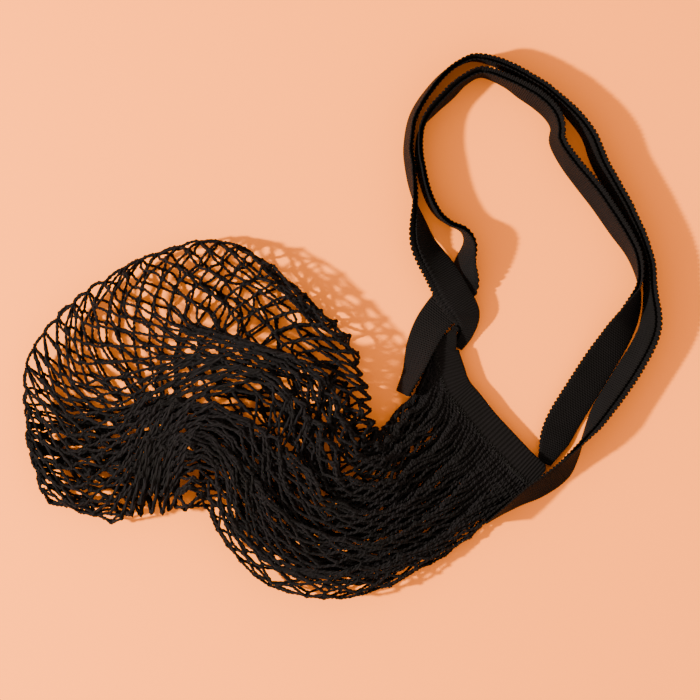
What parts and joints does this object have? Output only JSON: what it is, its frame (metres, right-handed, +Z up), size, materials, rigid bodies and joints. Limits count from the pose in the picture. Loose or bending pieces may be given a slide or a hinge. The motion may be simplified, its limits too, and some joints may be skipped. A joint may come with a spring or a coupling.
{
  "type": "string shopping bag",
  "caption": "Hollow knotted string bag lying empty in an S-shaped heap, with a knitted mouth band and two long folded tape handles standing on edge in a loop.",
  "frame": {"origin": "under the middle of the whole bag as it lies, on the surface that it rests on", "axes": "+X from the net's closed bottom towards the handles, +Y towards the top of the handle loop as seen from above, +Z up from the surface"},
  "size_m": [0.5676, 0.4862, 0.0544],
  "materials": {
    "string": "twisted black cotton string, matt",
    "tape": "ribbed knitted black cotton tape, matt"
  },
  "bodies": {
    "root": {"net_body": "string", "rim_front": "tape", "rim_back": "tape", "strap_front": "tape", "strap_back": "tape", "side_tape_left": "tape", "side_tape_right": "tape"}
  },
  "joints": []
}
